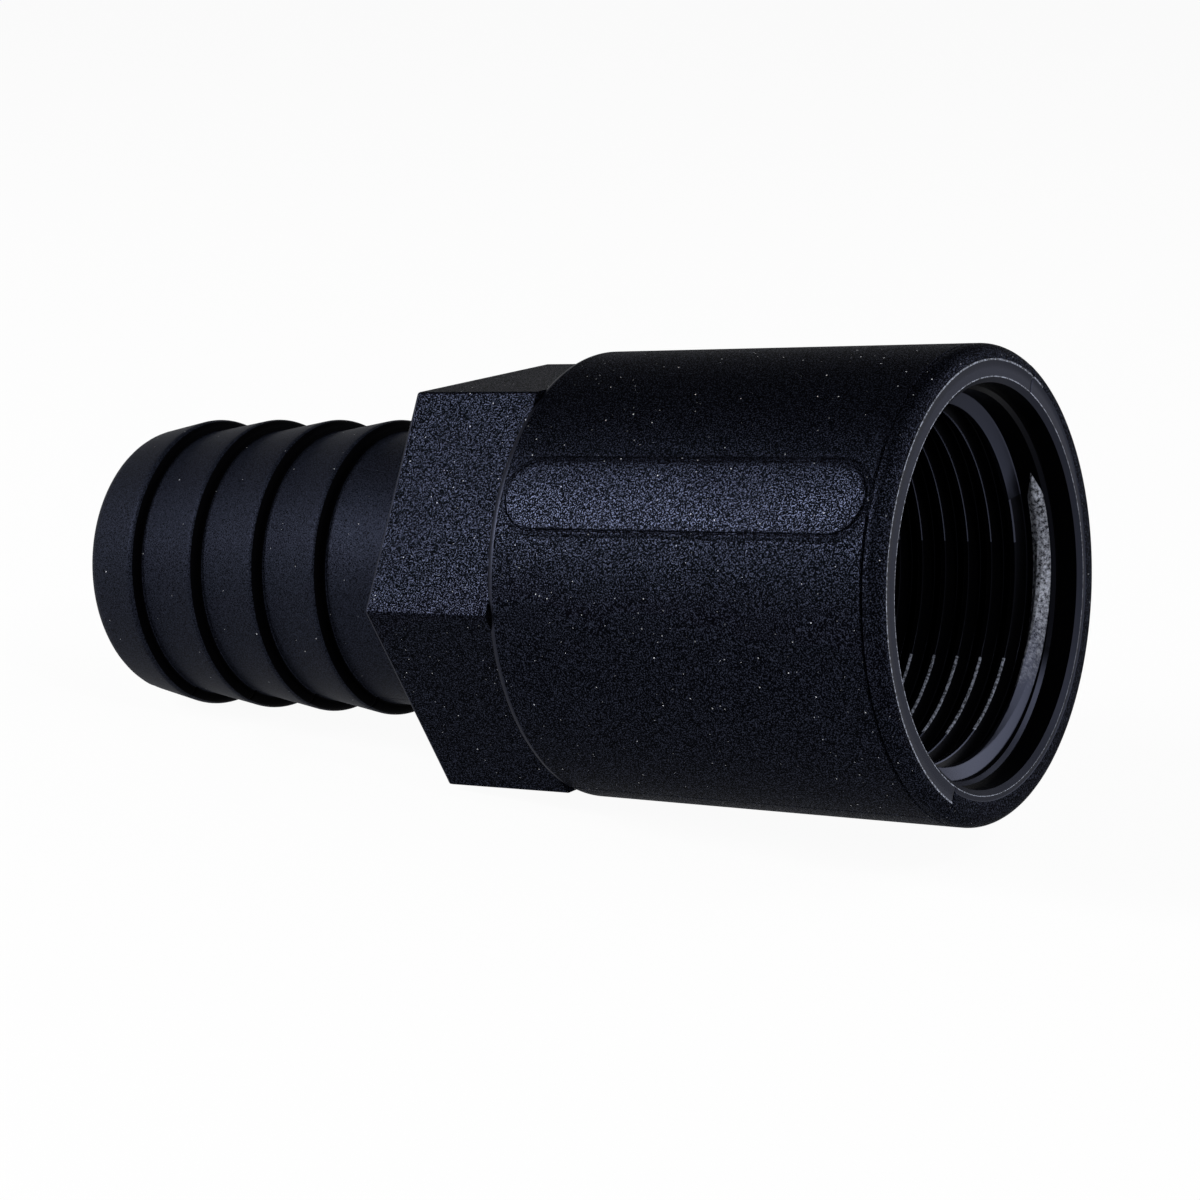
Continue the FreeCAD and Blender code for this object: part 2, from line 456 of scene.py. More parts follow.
def hexagon_points(sizes, halves):
    """Hexagon as a ring: each row goes once around at one station. The end that faces the tail is rounded
    by rows whose flats step in by edge * (1 - cos t) while the station moves out by edge * sin t. This
    rounding is smooth, and the rest has the grain."""
    apothem = sizes.across_flats / 2
    inner_r = COLLAR_R - 0.05 * MM
    bend = np.linspace(0, np.pi / 2, 6)
    step_in = sizes.edge_r * (1 - np.cos(bend))
    stations = HEX_LEFT_X + sizes.edge_r * (1 - np.sin(bend))
    flat = np.linspace(stations[0], HEX_RIGHT_X, 12)[1:]
    x = np.concatenate([[HEX_LEFT_X], stations[::-1], flat, [HEX_RIGHT_X]])

    corners = np.radians(30 + 60 * np.arange(6))
    corner_reach = 1.1 * sizes.edge_r / apothem
    near_corner = np.linspace(0, corner_reach, 7)
    angle = ring_angles(math.radians(2.5), corners, near_corner)
    parting = np.array(PARTING_ANGLES)
    beside_parting = 3e-4
    angle = np.unique(np.concatenate([angle, parting + beside_parting, parting - beside_parting]))

    hole = np.full_like(angle, inner_r)
    rounded = [hexagon_r(angle, apothem - step, max(sizes.edge_r - step, TINY)) for step in step_in[::-1]]
    straight = [hexagon_r(angle, apothem, sizes.edge_r)] * len(flat)
    r = np.stack([hole, *rounded, *straight, hole])
    x, angle = np.broadcast_arrays(x[:, None], angle[None])
    inside_r = 15 * MM
    outside_r = 16 * MM
    x, r = mould_halves(x, r, angle, inside_r, outside_r, halves)
    finish = np.full(len(x), GRAIN)
    finish[1:len(stations)] = SMOOTH
    return place(x, r, angle), finish


def socket_points(sizes):
    """Socket with its bore, turned: each row is a point of the outline carried once around the axis. A fine
    V groove is left just behind the rim, where two pieces of the mould met. The rim's smooth ring is set in
    a little, and a pale strip along both its edges is a painted highlight. In the lower half of the mould
    the ring is narrower and its outer edge has no painted highlight."""
    chamfered_r = sizes.mouth_edge_r - sizes.chamfer
    joint = sizes.joint_width
    joint_x = -sizes.rim_rounding - joint
    joint_depth = 0.8 * joint
    ring_r = sizes.mouth_r - sizes.rim_rounding - 0.01 * MM
    ring_x = -0.6 * sizes.ring_step
    bevel_r = ring_r - sizes.highlight_strip
    corners = [
        (SOCKET_REAR_X, funnel_r(SOCKET_REAR_X), 0, SMOOTH),
        (SOCKET_REAR_X, wall_r(sizes, SOCKET_REAR_X), sizes.rear_rounding, GRAIN),
        (joint_x - joint / 2, wall_r(sizes, joint_x), 0, GRAIN),
        (joint_x, wall_r(sizes, joint_x) - joint_depth, 0, GRAIN),
        (joint_x + joint / 2, wall_r(sizes, joint_x), 0, GRAIN),
        (0.0, sizes.mouth_r, sizes.rim_rounding, GRAIN),
        # The pale strips at the ring's two edges are painted highlights.
        (0.0, ring_r, 0, PALE_HIGHLIGHT),
        (0.0, bevel_r, 0, SMOOTH),
        (ring_x, bevel_r - sizes.ring_step, 0, SMOOTH),
        (ring_x, sizes.mouth_edge_r + 0.6 * sizes.highlight_strip, 0, PALE_HIGHLIGHT),
        (ring_x, sizes.mouth_edge_r, 0, SMOOTH),
        (-sizes.chamfer, chamfered_r, 0, GLOSS),
        (-sizes.lead_in_depth, chamfered_r, 0, GLOSS),
        # The lead-in cone gets the painted sheen.
        (-sizes.lead_in_depth, sizes.lead_in_r, 0, PAINTED_SHEEN),
        (lead_in_foot(sizes), THREAD_ROOT_R, 0, GLOSS),
        (THREAD_END_X, THREAD_ROOT_R, sizes.seat_fillet, GLOSS),
        (THREAD_END_X, CORE_R, 0, GLOSS),
        (CORE_END_X, CORE_R, CORE_ROUNDING, GLOSS),
    ]
    x, r, finish = outline(corners, OUTLINE_STEP)
    beside_parting = np.radians([0.01, 0.1, 0.2, 0.35, 0.7])
    angle = ring_angles(math.radians(1.25), PARTING_ANGLES, beside_parting)
    x, r, angle = np.broadcast_arrays(x[:, None], r[:, None], angle[None])

    # The ring is narrow from the lower parting line on, and widens again over the last 60 degrees.
    widening = math.radians(60)
    lower = (angle > PARTING_ANGLES[0]) * smooth_step(PARTING_ANGLES[1] - angle, 0, widening)
    on_bevel = (x > ring_x - TINY) & (r > bevel_r - 1.01 * sizes.ring_step) & (r < ring_r + TINY)
    r = r - on_bevel * lower * sizes.ring_inset
    outside_r = sizes.mouth_edge_r + 0.3 * MM
    x, r = mould_halves(x, r, angle, sizes.mouth_edge_r, outside_r, sizes)

    # The lead-in cone's painted sheen stops at the torn start of the thread; from there round to the upper
    # flat the cone is plain black.
    painted_sheen_end = math.radians(242)
    black = angle[:, 1:] > painted_sheen_end
    finish = np.where((finish[:, None] == PAINTED_SHEEN) & black, GLOSS, finish[:, None])
    # Where the ring is narrow, its outer edge has no painted highlight.
    highlight_end = 0.02
    no_painted_highlight = (lower[:, 1:] > highlight_end) & (r[:, 1:] > sizes.mouth_edge_r + sizes.highlight_strip)
    finish = np.where((finish == PALE_HIGHLIGHT) & no_painted_highlight, GRAIN, finish)
    return place(x, r, angle), finish


def pad_points(sizes, socket):
    """Stadium that follows the tapered wall. Each row is the stadium's outline stepped out by an offset and
    raised by a height: a barely raised border, the fine groove that the mould's insert left, the pad's own
    edge and its face. The first and last rows have stepped in by half the width, so their two sides meet on
    the middle line. The border and the groove have the grain of the wall."""
    half = (sizes.length - sizes.width) / 2
    radius = sizes.width / 2
    sunk = 0.15 * MM
    border_foot = 0.02 * MM
    border = sizes.moat + np.array([0.5, 0.5, 0.42, 0.3, 0.18, 0.06, 0.0]) * MM
    border_height = np.concatenate([
        [-sunk, -border_foot], sizes.moat_depth * np.array([0.0, 0.5, 0.85, 1.0, 1.0])])
    moat = sizes.moat * np.array([0.75, 0.45, 0.15, 0.02])
    moat_height = sizes.moat_depth * np.array([0.5, 0.1, 0.1, 0.3])
    bend = np.linspace(0, np.pi / 2, 5)
    edge = sizes.edge_r * (np.cos(bend) - 1)
    edge_height = sizes.height - sizes.edge_r * (1 - np.sin(bend))
    face = -np.linspace(sizes.edge_r, radius, 9)[1:]
    face_height = np.full(len(face), sizes.height)
    step_out = np.concatenate([[-radius], border, moat, edge, face])
    height = np.concatenate([[-sunk], border_height, moat_height, edge_height, face_height])
    pad_start = 1 + len(border) + len(moat)
    finish = np.where(np.arange(len(height)) < pad_start, GRAIN, PAD)

    straight = np.linspace(-half, half, 60)
    turn = np.linspace(-np.pi / 2, np.pi / 2, 33)[1:-1]
    up = np.full(len(straight), np.pi / 2)
    end = np.full(len(turn), half)
    middle = np.concatenate([straight, end, straight[::-1], -end, straight[:1]])
    normal = np.concatenate([-up, turn, up, turn + np.pi, -up[:1]])
    reach = radius + step_out[:, None]
    x = sizes.middle_x + middle + reach * np.cos(normal)
    across = reach * np.sin(normal)
    r = wall_r(socket, x) + height[:, None]
    angle = sizes.angle + np.arcsin(across / r)
    return place(x, r, angle), finish


def ridge_height(sizes, turned):
    """Share of the full height that the ridge has after turning by an angle from its start. It grows evenly
    over the run-in, with a small tab at the very start, tear marks, which are three sine waves, and a notch
    behind the tab, and it dies out before the seat."""
    run_in = np.radians(62)
    run_out = np.radians(70)
    tab_height = 0.36
    tab_middle = np.radians(7)
    tab_width = np.radians(4.2)
    first_rise = np.radians(4)
    tab = tab_height * np.exp(-(((turned - tab_middle) / tab_width) ** 2))
    waves = ((0.025, 61, 0), (0.02, 137, 1), (0.015, 251, 2))
    tear = sum(wave * np.sin(turned * rate + shift) for wave, rate, shift in waves)
    growing = np.clip(turned / run_in, 0, 1)
    first = np.clip(growing + tab + tear * (1 - growing), 0, 1) * smooth_step(turned, 0, first_rise)
    left = sizes.turns * 2 * np.pi - turned
    return first * np.clip(left / run_out, 0, 1)


def thread_points(sizes, socket):
    """Thread ridge: a section in the plane of the axis carried back along a right-hand helix, whose station
    falls by one pitch a turn. The section is scaled by the ridge's height, and what stands in the lead-in
    cone is pushed out to the cone; the point nearest a crossing with the cone is moved onto it, so that the
    edge stays sharp. The start is torn and the first turn has the cone's painted sheen. Further in, the edge
    of the crest is polished; on a part of each turn it has a pale painted highlight, and on another part a
    duller finish, painted shade."""
    depth = THREAD_ROOT_R - sizes.crest_r
    crest = sizes.crest_width / 2
    foot = crest + depth * math.tan(sizes.flank_angle)
    heel = foot + 0.2 * MM
    under = 0.012 * MM
    sunk = 0.14 * MM
    foot_rounding = 0.16 * MM
    crest_rounding = 0.11 * MM
    section = (
        (heel, -under, 0),
        (foot, -under, foot_rounding),
        (crest, depth, crest_rounding),
        (-crest, depth, crest_rounding),
        (-foot, -under, foot_rounding),
        (-heel, -under, 0),
        (-heel, -sunk, 0),
        (heel, -sunk, 0),
    )
    # A coarser section leaves open edges where the ridge meets the cone.
    section_step = 0.09 * MM
    offset, height, _ = outline([(*corner, GLOSS) for corner in section], section_step)
    offset = np.append(offset, offset[0])
    height = np.append(height, height[0])

    torn_degrees = 80
    fine_degrees = 0.6
    coarse_degrees = 3.0
    first = np.radians(np.arange(0, torn_degrees, fine_degrees))
    rest = np.radians(np.arange(torn_degrees, sizes.turns * 360, coarse_degrees))
    all_turned = sizes.turns * 2 * np.pi
    turned = np.concatenate([first, rest, [all_turned]])[:, None]
    share = ridge_height(sizes, turned)
    widen_from, widen_to, narrow_over = np.radians([-1.5, 11, 10])
    width = smooth_step(turned, widen_from, widen_to) * np.clip((all_turned - turned) / narrow_over, 0, 1)
    x = sizes.start_x - sizes.pitch * turned / (2 * np.pi) + offset * width
    x[:1] = sizes.start_x
    least_width = 0.2
    below = height * np.minimum(width + least_width, 1)
    r = THREAD_ROOT_R - np.where(height > 0, height * share, below)

    cone = THREAD_ROOT_R + (x - lead_in_foot(socket))
    over = cone - r
    share_to_next = over[:, :-1] / np.where(over[:, :-1] == over[:, 1:], 1, over[:, :-1] - over[:, 1:])
    crossing = over[:, :-1] * over[:, 1:] < 0
    before = crossing & (share_to_next < 0.5)
    after = crossing & (share_to_next >= 0.5)
    for moved, near in ((slice(0, -1), before), (slice(1, None), after)):
        for values in (x, r):
            at_cone = values[:, :-1] + share_to_next * (values[:, 1:] - values[:, :-1])
            values[:, moved] = np.where(near, at_cone, values[:, moved])
    cone = THREAD_ROOT_R + (x - lead_in_foot(socket))
    behind_cone = 0.02 * MM
    r = np.maximum(r, cone + np.where(cone > THREAD_ROOT_R, behind_cone, 0))
    x[:, -1] = x[:, 0]
    r[:, -1] = r[:, 0]
    r[0] = r[-1] = THREAD_ROOT_R + sunk
    x[0] = sizes.start_x
    x[-1] = sizes.start_x - sizes.pitch * sizes.turns

    middle_height = (height[:-1] + height[1:]) / 2
    middle_offset = (offset[:-1] + offset[1:]) / 2
    on_edge = (middle_height > 0.85 * depth) & (middle_offset > 0.12 * MM)
    # Around each turn the crest's edge has a dull arc, painted shade, and a pale arc, a painted highlight.
    dark_from, glint_from, glint_to = np.radians([22, 60, 92])
    painted_sheen_end = np.radians(368)
    in_turn = np.mod(turned, 2 * np.pi)
    painted_glint = (in_turn > glint_from) & (in_turn < glint_to)
    black = (in_turn > dark_from) & (in_turn < glint_from)
    edge_finish = np.where(painted_glint, PALE_HIGHLIGHT, np.where(black, GLOSS, EDGE))
    # The first turn of the ridge gets the cone's painted sheen.
    finish = np.where(turned < painted_sheen_end, PAINTED_SHEEN, np.where(on_edge, edge_finish, GLOSS))
    finish = np.where(turned < np.radians(torn_degrees), TORN, finish)
    return place(x, r, sizes.start_angle - turned), finish


# Materials. Specular levels are low and their tints bright: the white walls, seen along a face, stay as
# faint as in the photo, and the lamps still shine on it.

NYLON_IOR = 1.53
BUMP_DEPTH = 0.05 * MM
BLACK = "#030304"
GRAIN_GLINT = "#c2ceff"
SMOOTH_GLINT = "#cdd6ff"


def linear(colour):
    """Linear colour of an sRGB hex value."""
    parts = [int(colour[i:i + 2], 16) / 255 for i in (1, 3, 5)]
    return tuple(p / 12.92 if p <= 0.04045 else ((p + 0.055) / 1.055) ** 2.4 for p in parts) + (1.0,)


def tinted(colour, gain):
    """Linear colour of an sRGB hex value, made brighter by gain."""
    return tuple(gain * part for part in linear(colour)[:3]) + (1.0,)


def add_node(tree, kind, settings=(), inputs=()):
    """Adds a node with its settings and inputs; an input that is another node's socket becomes a link."""
    node = tree.nodes.new(kind)
    for name, value in dict(settings).items():
        setattr(node, name, value)
    for name, value in dict(inputs).items():
        if isinstance(value, bpy.types.NodeSocket):
            tree.links.new(value, node.inputs[name])
        else:
            node.inputs[name].default_value = value
    return node


def new_material(name):
    """Empty material with a node tree."""
    material = bpy.data.materials.new(name)
    material.use_nodes = True
    material.node_tree.nodes.clear()
    return material


def dusted(tree, where, colour, share):
    """Colour with pale specks of dust. In that share of the cells of a Voronoi pattern, 0.4 mm wide, what
    lies within 0.01 to 0.07 mm of the cell's point is pale."""
    cell = 0.4 * MM
    cells = add_node(tree, "ShaderNodeTexVoronoi", {}, {"Vector": where, "Scale": 1 / cell})
    parts = add_node(tree, "ShaderNodeSeparateColor", {}, {"Color": cells.outputs["Color"]})
    size = add_node(tree, "ShaderNodeMapRange", {}, {
        "Value": parts.outputs["Red"], "From Min": 1 - share, "To Min": 0.03, "To Max": 0.17})
    near = add_node(tree, "ShaderNodeMath", {"operation": "LESS_THAN"}, {
        0: cells.outputs["Distance"], 1: size.outputs["Result"]})
    chosen = add_node(tree, "ShaderNodeMath", {"operation": "GREATER_THAN"}, {
        0: parts.outputs["Red"], 1: 1 - share})
    speck = add_node(tree, "ShaderNodeMath", {"operation": "MULTIPLY"}, {
        0: near.outputs[0], 1: chosen.outputs[0]})
    pale = add_node(tree, "ShaderNodeMath", {"operation": "MULTIPLY"}, {
        0: speck.outputs[0], 1: parts.outputs["Green"]})
    mix = add_node(tree, "ShaderNodeMix", {"data_type": "RGBA"}, {
        "Factor": pale.outputs[0], "A": colour, "B": linear("#c9cbd0")})
    return mix.outputs["Result"]


def spark_eroded_nylon(tree, where, settings, gain):
    """Black nylon moulded against a spark-eroded cavity: a dull grain whose tips are polished, so that they
    glint where they mirror a lamp, and whose pits stay black."""
    # Real grain is about 0.05 mm wide. It is drawn at 0.12 mm, about a pixel, so that it shows.
    grain = add_node(tree, "ShaderNodeTexNoise", {}, {
        "Vector": where, "Scale": 1 / settings.grain, "Detail": 1.0, "Roughness": 0.6})
    bump = add_node(tree, "ShaderNodeBump", {}, {
        "Height": grain.outputs["Fac"], "Strength": 0.6, "Distance": BUMP_DEPTH})
    tips = add_node(tree, "ShaderNodeMapRange", {"interpolation_type": "SMOOTHSTEP"}, {
        "Value": grain.outputs["Fac"], "From Min": 0.5, "From Max": 0.66})
    gloss = add_node(tree, "ShaderNodeMapRange", {}, {
        "Value": tips.outputs["Result"], "To Min": 7.0 * gain, "To Max": 115.0 * gain})
    rough = add_node(tree, "ShaderNodeMapRange", {}, {
        "Value": tips.outputs["Result"], "To Min": 0.6, "To Max": 0.38})
    tone = add_node(tree, "ShaderNodeVectorMath", {"operation": "SCALE"}, {
        0: tuple(settings.colour), "Scale": tips.outputs["Result"]})
    glint = add_node(tree, "ShaderNodeVectorMath", {"operation": "SCALE"}, {
        0: linear(GRAIN_GLINT)[:3], "Scale": gloss.outputs["Result"]})
    return add_node(tree, "ShaderNodeBsdfPrincipled", {}, {
        "Base Color": dusted(tree, where, tone.outputs["Vector"], 0.15),
        "Roughness": rough.outputs["Result"], "IOR": NYLON_IOR, "Specular IOR Level": 0.0035,
        "Specular Tint": glint.outputs["Vector"], "Normal": bump.outputs["Normal"]})


def satin_nylon(tree, where, settings):
    """Black nylon moulded against a finely ground cavity: satin, with a faint mottled orange peel, drawn as
    wide as the grain so that it shows."""
    peel = add_node(tree, "ShaderNodeTexNoise", {}, {
        "Vector": where, "Scale": 1 / settings.grain, "Detail": 2.0, "Roughness": 0.6})
    bump = add_node(tree, "ShaderNodeBump", {}, {
        "Height": peel.outputs["Fac"], "Strength": 0.4, "Distance": BUMP_DEPTH})
    mottle = add_node(tree, "ShaderNodeMapRange", {}, {
        "Value": peel.outputs["Fac"], "From Min": 0.35, "From Max": 0.65, "To Min": 0.1, "To Max": 2.1})
    tone = add_node(tree, "ShaderNodeVectorMath", {"operation": "SCALE"}, {
        0: tuple(settings.colour), "Scale": mottle.outputs["Result"]})
    glint = add_node(tree, "ShaderNodeVectorMath", {"operation": "SCALE"}, {
        0: tinted(GRAIN_GLINT, 5.8)[:3], "Scale": mottle.outputs["Result"]})
    return add_node(tree, "ShaderNodeBsdfPrincipled", {}, {
        "Base Color": dusted(tree, where, tone.outputs["Vector"], 0.05), "Roughness": 0.52,
        "IOR": NYLON_IOR, "Specular IOR Level": 0.015, "Specular Tint": glint.outputs["Vector"],
        "Normal": bump.outputs["Normal"]})


def smooth_nylon(tree, where, settings, roughness, level, gain):
    """Black nylon moulded on a ground or polished face of the mould: smooth, with a faint orange peel about
    0.2 mm wide."""
    peel_width = settings.grain / 0.6
    peel = add_node(tree, "ShaderNodeTexNoise", {}, {
        "Vector": where, "Scale": 1 / peel_width, "Detail": 1.0})
    bump = add_node(tree, "ShaderNodeBump", {}, {
        "Height": peel.outputs["Fac"], "Strength": 0.15, "Distance": BUMP_DEPTH})
    return add_node(tree, "ShaderNodeBsdfPrincipled", {}, {
        "Base Color": linear(BLACK), "Roughness": roughness, "IOR": NYLON_IOR, "Specular IOR Level": level,
        "Specular Tint": tinted(SMOOTH_GLINT, gain), "Normal": bump.outputs["Normal"]})


def root_heights(first, second):
    """Heights above the floor of the thread's root near the mouth, at two angles in degrees."""
    return place(THREAD_END_X / 4, THREAD_ROOT_R, np.radians([first, second]))[:, 2]


def rise_between(tree, height, first, second):
    """0 below the thread's root at the first angle, in degrees, and 1 above it at the second one."""
    low, high = root_heights(first, second)
    return add_node(tree, "ShaderNodeMapRange", {"interpolation_type": "SMOOTHSTEP"}, {
        "Value": height, "From Min": low, "From Max": high}).outputs["Result"]


def lead_in_painted_sheen(tree, where, settings, roughness, level, gain):
    """Black nylon of the lead-in cone and the first turn of thread, with a painted sheen: its tint is bright
    at the bottom and at the upper right, set by height, and it is black between."""
    height = add_node(tree, "ShaderNodeSeparateXYZ", {}, {"Vector": where}).outputs["Z"]
    no_painted_sheen = add_node(tree, "ShaderNodeMath", {"operation": "SUBTRACT"}, {
        0: rise_between(tree, height, 226.0, 242.0), 1: rise_between(tree, height, 284.0, 296.0)})
    painted_sheen = add_node(tree, "ShaderNodeMapRange", {}, {"Value": no_painted_sheen.outputs[0], "To Min": gain})
    tint = add_node(tree, "ShaderNodeVectorMath", {"operation": "SCALE"}, {
        0: linear(SMOOTH_GLINT)[:3], "Scale": painted_sheen.outputs["Result"]})
    return add_node(tree, "ShaderNodeBsdfPrincipled", {}, {
        "Base Color": linear(BLACK), "Roughness": roughness, "IOR": NYLON_IOR, "Specular IOR Level": level,
        "Specular Tint": tint.outputs["Vector"]})


def painted_highlight_nylon(tree, where, settings):
    """Pale grey, dry nylon, broken every two grains or so: a painted highlight along the edges of the rim's
    smooth ring and along a part of each turn of the thread's crest."""
    break_width = 2 * settings.grain
    breaks = add_node(tree, "ShaderNodeTexNoise", {}, {
        "Vector": where, "Scale": 1 / break_width, "Detail": 2.0, "Roughness": 0.6})
    pale = add_node(tree, "ShaderNodeMapRange", {}, {
        "Value": breaks.outputs["Fac"], "From Min": 0.42, "From Max": 0.6, "To Min": 0.1})
    colour = add_node(tree, "ShaderNodeMix", {"data_type": "RGBA"}, {
        "Factor": pale.outputs["Result"], "A": linear(BLACK), "B": linear("#8f95a6")})
    return add_node(tree, "ShaderNodeBsdfPrincipled", {}, {
        "Base Color": colour.outputs["Result"], "Roughness": 0.6, "IOR": NYLON_IOR,
        "Specular IOR Level": 0.2})


def torn_nylon(tree, where, settings, roughness, level, gain):
    """Nylon at the torn start of the thread: pale grey and coarse, with black pits. Lower down, where the
    ridge has its full height, it passes raggedly, by height, into black with the lead-in's painted sheen."""
    tear_width = settings.grain / 0.35
    tears = add_node(tree, "ShaderNodeTexNoise", {}, {
        "Vector": where, "Scale": 1 / tear_width, "Detail": 4.0, "Roughness": 0.75})
    pale = add_node(tree, "ShaderNodeMapRange", {}, {
        "Value": tears.outputs["Fac"], "From Min": 0.38, "From Max": 0.64})
    low, high = root_heights(230.0, 250.0)
    middle = (low + high) / 2
    height = add_node(tree, "ShaderNodeSeparateXYZ", {}, {"Vector": where})
    ragged = add_node(tree, "ShaderNodeMath", {"operation": "MULTIPLY_ADD"}, {
        0: tears.outputs["Fac"], 1: high - low, 2: height.outputs["Z"]})
    fade = add_node(tree, "ShaderNodeMapRange", {}, {
        "Value": ragged.outputs[0], "From Min": middle, "From Max": middle + 1.6 * (high - low)})
    bump = add_node(tree, "ShaderNodeBump", {}, {
        "Height": tears.outputs["Fac"], "Strength": fade.outputs["Result"], "Distance": 2 * BUMP_DEPTH})
    amount = add_node(tree, "ShaderNodeMath", {"operation": "MULTIPLY"}, {
        0: pale.outputs["Result"], 1: fade.outputs["Result"]})
    colour = add_node(tree, "ShaderNodeMix", {"data_type": "RGBA"}, {
        "Factor": amount.outputs[0], "A": linear(BLACK), "B": linear("#c4c9d8")})
    rough = add_node(tree, "ShaderNodeMapRange", {}, {
        "Value": amount.outputs[0], "To Min": roughness, "To Max": 0.6})
    # Below the ragged edge the tint takes the lead-in's painted sheen.
    painted_sheen_gain = add_node(tree, "ShaderNodeMapRange", {}, {"Value": fade.outputs["Result"], "To Min": gain})
    tint = add_node(tree, "ShaderNodeVectorMath", {"operation": "SCALE"}, {
        0: linear(SMOOTH_GLINT)[:3], "Scale": painted_sheen_gain.outputs["Result"]})
    return add_node(tree, "ShaderNodeBsdfPrincipled", {}, {
        "Base Color": colour.outputs["Result"], "Roughness": rough.outputs["Result"], "IOR": NYLON_IOR,
        "Specular IOR Level": level, "Specular Tint": tint.outputs["Vector"],
        "Normal": bump.outputs["Normal"]})


def finish_material(name, maker, *values):
    """Material with the surface that its maker's nodes give, worked out on Object coordinates."""
    material = new_material(name)
    tree = material.node_tree
    where = add_node(tree, "ShaderNodeTexCoord").outputs["Object"]
    shader = maker(tree, where, bpy.context.scene.adapter_finish, *values)
    add_node(tree, "ShaderNodeOutputMaterial", {}, {"Surface": shader.outputs[0]})
    return material


def all_finishes():
    """The finishes, made once, in the order of the finish numbers. A maker's values are its roughness, its
    specular level and the gain of its tint, as far as it takes them."""
    makers = {
        "black_nylon_spark_eroded": (spark_eroded_nylon, 1.0),
        "black_nylon_satin": (satin_nylon,),
        "black_nylon_polished_core": (smooth_nylon, 0.3, 0.05, 1.0),
        "grey_nylon_torn_start": (torn_nylon, 0.35, 0.03, 20.0),
        "black_nylon_smooth_face": (smooth_nylon, 0.4, 0.015, 20.0),
        "black_nylon_pad": (spark_eroded_nylon, 1.65),
        # Painted sheen on the lead-in cone and the first turn of thread
        "black_nylon_lead_in_painted_sheen": (lead_in_painted_sheen, 0.35, 0.03, 20.0),
        # Pale grey: painted highlights on the rim's ring edges and the thread's crest
        "grey_nylon_painted_highlight": (painted_highlight_nylon,),
        # Nearly unreflecting: painted shade on the barbs' crests and steps
        "black_nylon_barb_step_painted_shade": (smooth_nylon, 0.5, 0.004, 1.0),
        "black_nylon_thread_edge": (smooth_nylon, 0.2, 0.02, 30.0),
    }
    return [bpy.data.materials.get(name) or finish_material(name, *maker) for name, maker in makers.items()]


# Operators, one for each piece

class ADAPTER_OT_hose_tail(bpy.types.Operator):
    """Makes the hose tail with its four barbs and its bore"""
    bl_idname = "adapter.hose_tail"
    bl_label = "Hose tail"

    def execute(self, context):
        scene = context.scene
        grid = tail_points(scene.adapter_tail, scene.adapter_socket)
        hand_over(closed_piece("hose_tail", *grid))
        return {"FINISHED"}


class ADAPTER_OT_hexagon(bpy.types.Operator):
    """Makes the spanner hexagon"""
    bl_idname = "adapter.hexagon"
    bl_label = "Spanner hexagon"

    def execute(self, context):
        scene = context.scene
        grid = hexagon_points(scene.adapter_hexagon, scene.adapter_socket)
        hand_over(closed_piece("spanner_hexagon", *grid))
        return {"FINISHED"}


class ADAPTER_OT_socket(bpy.types.Operator):
    """Makes the socket with its rim, lead-in, seat and funnel"""
    bl_idname = "adapter.socket"
    bl_label = "Socket"

    def execute(self, context):
        hand_over(closed_piece("socket", *socket_points(context.scene.adapter_socket)))
        return {"FINISHED"}


class ADAPTER_OT_pad(bpy.types.Operator):
    """Makes the raised pad on the side of the socket"""
    bl_idname = "adapter.pad"
    bl_label = "Raised pad"

    def execute(self, context):
        scene = context.scene
        grid = pad_points(scene.adapter_pad, scene.adapter_socket)
        hand_over(closed_piece("raised_pad", *grid, close_rows=False))
        return {"FINISHED"}


class ADAPTER_OT_thread(bpy.types.Operator):
    """Makes the ridge of the female thread"""
    bl_idname = "adapter.thread"
    bl_label = "Thread"

    def execute(self, context):
        scene = context.scene
        grid = thread_points(scene.adapter_thread, scene.adapter_socket)
        hand_over(closed_piece("thread_ridge", *grid, close_rows=False))
        return {"FINISHED"}


def soft_lamp(name, power, size, direction):
    """Rectangular area lamp 0.8 m from the part's middle in a direction, turned to face it."""
    lamp = bpy.data.lights.new(name, "AREA")
    lamp.shape = "RECTANGLE"
    lamp.size, lamp.size_y = size
    lamp.energy = power
    holder = bpy.data.objects.new(name, lamp)
    bpy.context.scene.collection.objects.link(holder)
    middle = np.array([0.0, 0.0, 0.022])
    distance = 0.8
    away = np.array(direction) / np.linalg.norm(direction)
    holder.location = middle + distance * away
    holder.rotation_euler = Vector(away).to_track_quat("Z", "Y").to_euler()
    holder.visible_camera = False


class ADAPTER_OT_stage(bpy.types.Operator):
    """Makes the pale floor, the soft lamps, the world and the camera at the photograph's angle"""
    bl_idname = "adapter.stage"
    bl_label = "Stage"

    def execute(self, context):
        scene = context.scene
        scene.view_settings.view_transform = "Standard"
        bpy.ops.mesh.primitive_plane_add(size=12, location=(0, 0, 0))
        floor = context.active_object
        floor.name = "floor"
        floor.data.materials.append(pale_floor())
        studio_world(scene)
        soft_lamp("key_lamp", 7.5, (0.15, 0.42), (-0.607, -0.66, 0.445))
        soft_lamp("back_lamp", 3.0, (0.8, 0.6), (0.68, 0.55, 0.3))
        soft_lamp("mouth_lamp", 1.5, (0.08, 0.08), (0.66, -0.37, 0.60))
        soft_lamp("top_lamp", 1.2, (0.5, 0.5), (0.62, 0.02, 0.78))
        # Fitted to the rim, the barbs and the hexagon of the photograph
        lens = bpy.data.cameras.new("camera")
        lens.sensor_width = 36.0
        lens.lens = 100.18
        camera = bpy.data.objects.new("camera", lens)
        camera.location = (0.16255, -0.24929, 0.08945)
        camera.rotation_euler = (1.33062, -0.03918, 0.57328)
        scene.collection.objects.link(camera)
        scene.camera = camera
        return {"FINISHED"}


